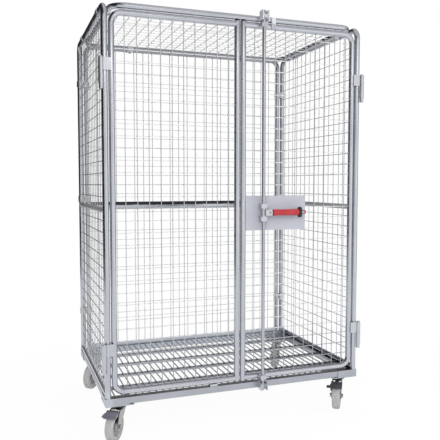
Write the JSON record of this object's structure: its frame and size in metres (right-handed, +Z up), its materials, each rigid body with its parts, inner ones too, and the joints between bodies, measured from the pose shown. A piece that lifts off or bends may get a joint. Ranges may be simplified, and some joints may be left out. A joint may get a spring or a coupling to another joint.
{
  "type": "roll container",
  "caption": "Tall zinc plated mesh roll container on swivel casters, with a rod floor, a mesh roof and hinged double doors closed by an espagnolette lever lock.",
  "frame": {"origin": "on the floor, under the middle of the container's overall length and width, lever and clamps included", "axes": "+Z up, -Y out of the doors, +X towards the door leaf that carries the lock"},
  "size_m": [1.229, 0.874, 1.831],
  "materials": {
    "zinc_tube": "bright zinc plated tube, smooth, slightly blue",
    "zinc_wire": "bright zinc plated drawn wire",
    "floor_rod": "dull zinc plated floor rod, greyed by use",
    "zinc_base": "zinc plated rolled section, satin",
    "zinc_fitting": "zinc plated pressed and machined fittings",
    "zinc_sheet": "zinc plated sheet, pale and even",
    "zinc_rod": "bright zinc plated round bar",
    "zinc_caster": "zinc plated pressed steel, slightly yellow",
    "fasteners": "zinc plated bolts",
    "black_clip": "black moulded plastic",
    "red_grip": "red moulded sleeve, satin",
    "grey_rim": "light grey moulded wheel centre",
    "grey_tread": "light grey non-marking tread",
    "dark_brake": "dark coated pressed steel"
  },
  "bodies": {
    "frame": {"base_rails": "zinc_base", "corner_brackets": "zinc_base", "floor_bearers": "zinc_base", "floor_rods": "floor_rod", "side_bars": "zinc_tube", "back_frame": "zinc_tube", "back_bars": "zinc_tube", "back_mesh": "zinc_wire", "roof_frame": "zinc_tube", "roof_mesh": "zinc_wire", "hinge_knuckles": "zinc_fitting", "hinge_pins": "zinc_fitting", "panel_clamps": "zinc_fitting", "clamp_bolts": "fasteners", "rod_keepers": "zinc_fitting", "door_rest": "zinc_fitting", "caster_plates": "zinc_caster", "caster_bolts": "fasteners", "left_side_frame": "zinc_tube", "left_side_mesh": "zinc_wire", "right_side_frame": "zinc_tube", "right_side_mesh": "zinc_wire"},
    "left_door": {"left_door_bow": "zinc_tube", "left_door_stile": "zinc_tube", "left_door_mesh": "zinc_wire", "left_hinge_straps": "zinc_fitting"},
    "right_door": {"right_door_bow": "zinc_tube", "right_door_stile": "zinc_tube", "right_door_mesh": "zinc_wire", "right_hinge_straps": "zinc_fitting", "lock_plate": "zinc_sheet", "rod_guides": "zinc_fitting", "lever_clip": "zinc_fitting", "door_stop": "zinc_fitting"},
    "lock": {"lock_rod": "zinc_rod", "rod_cams": "zinc_fitting", "lever_hub": "zinc_fitting", "lever_bar": "zinc_rod", "lever_bolt": "fasteners", "lever_grip": "red_grip", "lever_flange": "black_clip"},
    "front_left_swivel": {"front_left_fork": "zinc_caster", "front_left_axle": "fasteners"},
    "front_left_wheel": {"front_left_rim": "grey_rim", "front_left_tyre": "grey_tread"},
    "front_left_brake": {"front_left_brake": "dark_brake"},
    "front_right_swivel": {"front_right_fork": "zinc_caster", "front_right_axle": "fasteners"},
    "front_right_wheel": {"front_right_rim": "grey_rim", "front_right_tyre": "grey_tread"},
    "front_right_brake": {"front_right_brake": "dark_brake"},
    "rear_left_swivel": {"rear_left_fork": "zinc_caster", "rear_left_axle": "fasteners"},
    "rear_left_wheel": {"rear_left_rim": "grey_rim", "rear_left_tyre": "grey_tread"},
    "rear_right_swivel": {"rear_right_fork": "zinc_caster", "rear_right_axle": "fasteners"},
    "rear_right_wheel": {"rear_right_rim": "grey_rim", "rear_right_tyre": "grey_tread"}
  },
  "joints": [
    {"name": "left_door_swing", "type": "hinge", "parent": "frame", "child": "left_door", "pos_m": [-0.60401, -0.39401, 0.9775], "axis": [0, 0, -1], "range_deg": [0, 270]},
    {"name": "right_door_swing", "type": "hinge", "parent": "frame", "child": "right_door", "pos_m": [0.60401, -0.39401, 0.9775], "axis": [0, 0, 1], "range_deg": [0, 240]},
    {"name": "lock_swing", "type": "hinge", "parent": "right_door", "child": "lock", "pos_m": [0.1015, -0.404, 0.953], "axis": [0, 0, -1], "range_deg": [0, 100]},
    {"name": "front_left_swivel_turn", "type": "hinge", "parent": "frame", "child": "front_left_swivel", "pos_m": [-0.535, -0.325, 0.155], "axis": [0, 0, 1], "continuous": true},
    {"name": "front_left_wheel_spin", "type": "hinge", "parent": "front_left_swivel", "child": "front_left_wheel", "pos_m": [-0.56024, -0.36104, 0.0625], "axis": [0.8192, -0.5736, 0], "continuous": true},
    {"name": "front_left_brake_press", "type": "hinge", "parent": "front_left_swivel", "child": "front_left_brake", "pos_m": [-0.55794, -0.35777, 0.092], "axis": [0.8192, -0.5736, 0], "range_deg": [0, 15]},
    {"name": "front_right_swivel_turn", "type": "hinge", "parent": "frame", "child": "front_right_swivel", "pos_m": [0.535, -0.325, 0.155], "axis": [0, 0, 1], "continuous": true},
    {"name": "front_right_wheel_spin", "type": "hinge", "parent": "front_right_swivel", "child": "front_right_wheel", "pos_m": [0.50976, -0.36104, 0.0625], "axis": [0.8192, -0.5736, 0], "continuous": true},
    {"name": "front_right_brake_press", "type": "hinge", "parent": "front_right_swivel", "child": "front_right_brake", "pos_m": [0.51206, -0.35777, 0.092], "axis": [0.8192, -0.5736, 0], "range_deg": [0, 15]},
    {"name": "rear_left_swivel_turn", "type": "hinge", "parent": "frame", "child": "rear_left_swivel", "pos_m": [-0.535, 0.365, 0.155], "axis": [0, 0, 1], "continuous": true},
    {"name": "rear_left_wheel_spin", "type": "hinge", "parent": "rear_left_swivel", "child": "rear_left_wheel", "pos_m": [-0.56024, 0.32896, 0.0625], "axis": [0.8192, -0.5736, 0], "continuous": true},
    {"name": "rear_right_swivel_turn", "type": "hinge", "parent": "frame", "child": "rear_right_swivel", "pos_m": [0.535, 0.365, 0.155], "axis": [0, 0, 1], "continuous": true},
    {"name": "rear_right_wheel_spin", "type": "hinge", "parent": "rear_right_swivel", "child": "rear_right_wheel", "pos_m": [0.50976, 0.32896, 0.0625], "axis": [0.8192, -0.5736, 0], "continuous": true}
  ]
}
